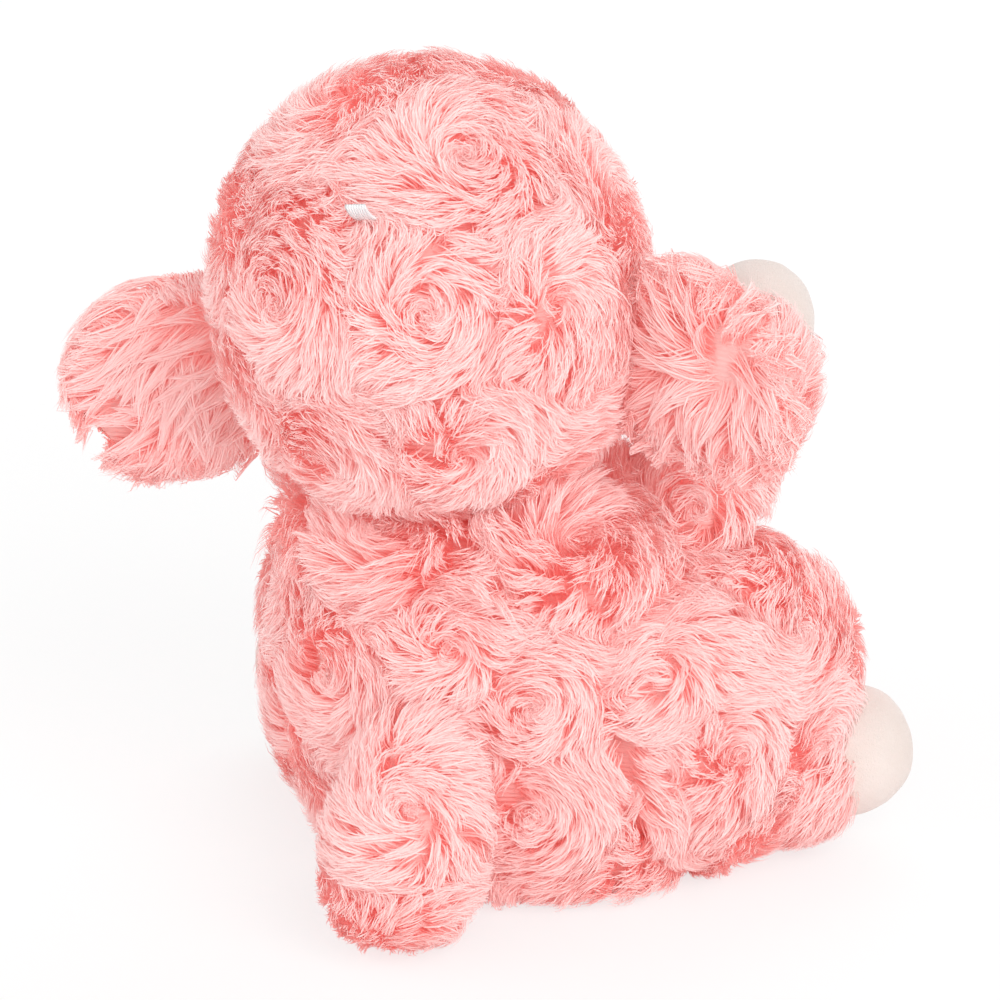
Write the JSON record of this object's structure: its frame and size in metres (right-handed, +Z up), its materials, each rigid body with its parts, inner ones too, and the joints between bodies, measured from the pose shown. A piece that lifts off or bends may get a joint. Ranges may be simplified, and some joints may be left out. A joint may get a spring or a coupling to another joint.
{
  "type": "plush lamb",
  "caption": "Stuffed toy lamb that sits up, in pink swirl-pile fabric with cream hooves and face, floppy ears, splayed legs and a short tail.",
  "frame": {"origin": "middle of the flat seat, on the surface that the lamb sits on", "axes": "+Z up, the lamb faces -Y and its left side is +X"},
  "size_m": [0.2261, 0.1989, 0.2317],
  "materials": {
    "pink_pile": "long swirl pile, pressed into rosettes, matt with a soft sheen",
    "cream_plush": "short smooth plush pile, matt",
    "stuffing": "loose polyester fibre",
    "canvas": "plain woven cotton",
    "satin_label": "smooth woven ribbon, bare",
    "thread": "satin-stitch embroidery thread",
    "eye_black": "polished",
    "washer_plastic": "moulded"
  },
  "bodies": {
    "torso": {"body_cover": "pink_pile", "body_stuffing": "stuffing", "seat_bean_pouch": "canvas"},
    "neck": {"neck_gusset": "pink_pile"},
    "head": {"head_cover": "pink_pile", "head_stuffing": "stuffing", "face_panel": "cream_plush", "nose": "thread", "mouth_stitch": "thread", "head_label": "satin_label", "left_eye": "eye_black", "left_eye_washer": "washer_plastic", "right_eye": "eye_black", "right_eye_washer": "washer_plastic"},
    "tail": {"tail_cover": "pink_pile", "tail_stuffing": "stuffing"},
    "left_ear": {"left_ear_back": "pink_pile", "left_ear_lining": "cream_plush"},
    "left_front_leg": {"left_front_leg_cover": "pink_pile", "left_front_leg_stuffing": "stuffing", "left_front_hoof": "cream_plush"},
    "left_hind_leg": {"left_hind_leg_cover": "pink_pile", "left_hind_leg_stuffing": "stuffing", "left_hind_hoof": "cream_plush"},
    "right_ear": {"right_ear_back": "pink_pile", "right_ear_lining": "cream_plush"},
    "right_front_leg": {"right_front_leg_cover": "pink_pile", "right_front_leg_stuffing": "stuffing", "right_front_hoof": "cream_plush"},
    "right_hind_leg": {"right_hind_leg_cover": "pink_pile", "right_hind_leg_stuffing": "stuffing", "right_hind_hoof": "cream_plush"}
  },
  "joints": [
    {"name": "neck_turn", "type": "hinge", "parent": "torso", "child": "neck", "pos_m": [0.00685, 0.01552, 0.098], "axis": [0, 0, 1], "range_deg": [-15, 15], "stiffness_Nm_per_rad": 0.6},
    {"name": "head_nod", "type": "hinge", "parent": "neck", "child": "head", "pos_m": [0.00685, 0.01552, 0.098], "axis": [0.9903, 0, -0.1392], "range_deg": [-5, 5], "stiffness_Nm_per_rad": 1.2},
    {"name": "left_ear_flap", "type": "hinge", "parent": "head", "child": "left_ear", "pos_m": [0.07786, 0.02452, 0.14255], "axis": [-0.4199, -0.1057, -0.9014], "range_deg": [-15, 15], "stiffness_Nm_per_rad": 0.04},
    {"name": "left_shoulder", "type": "hinge", "parent": "torso", "child": "left_front_leg", "pos_m": [0.06217, -0.00675, 0.105], "axis": [0, 0, 1], "range_deg": [0, 25], "stiffness_Nm_per_rad": 0.25},
    {"name": "left_hip", "type": "hinge", "parent": "torso", "child": "left_hind_leg", "pos_m": [0.05422, -0.00547, 0.049], "axis": [-0.9135, -0.4067, 0], "range_deg": [0, 25], "stiffness_Nm_per_rad": 0.25},
    {"name": "right_ear_flap", "type": "hinge", "parent": "head", "child": "right_ear", "pos_m": [-0.04912, 0.02452, 0.1604], "axis": [-0.1552, 0.1057, 0.9822], "range_deg": [-15, 15], "stiffness_Nm_per_rad": 0.04},
    {"name": "right_shoulder", "type": "hinge", "parent": "torso", "child": "right_front_leg", "pos_m": [-0.04748, -0.00675, 0.105], "axis": [0, 0, -1], "range_deg": [0, 25], "stiffness_Nm_per_rad": 0.25},
    {"name": "right_hip", "type": "hinge", "parent": "torso", "child": "right_hind_leg", "pos_m": [-0.05537, -0.00547, 0.049], "axis": [-0.9135, 0.4067, 0], "range_deg": [0, 25], "stiffness_Nm_per_rad": 0.25},
    {"name": "tail_lift", "type": "hinge", "parent": "torso", "child": "tail", "pos_m": [0.0005, 0.06692, 0.05], "axis": [1, 0, 0], "range_deg": [0, 40], "stiffness_Nm_per_rad": 0.08}
  ]
}
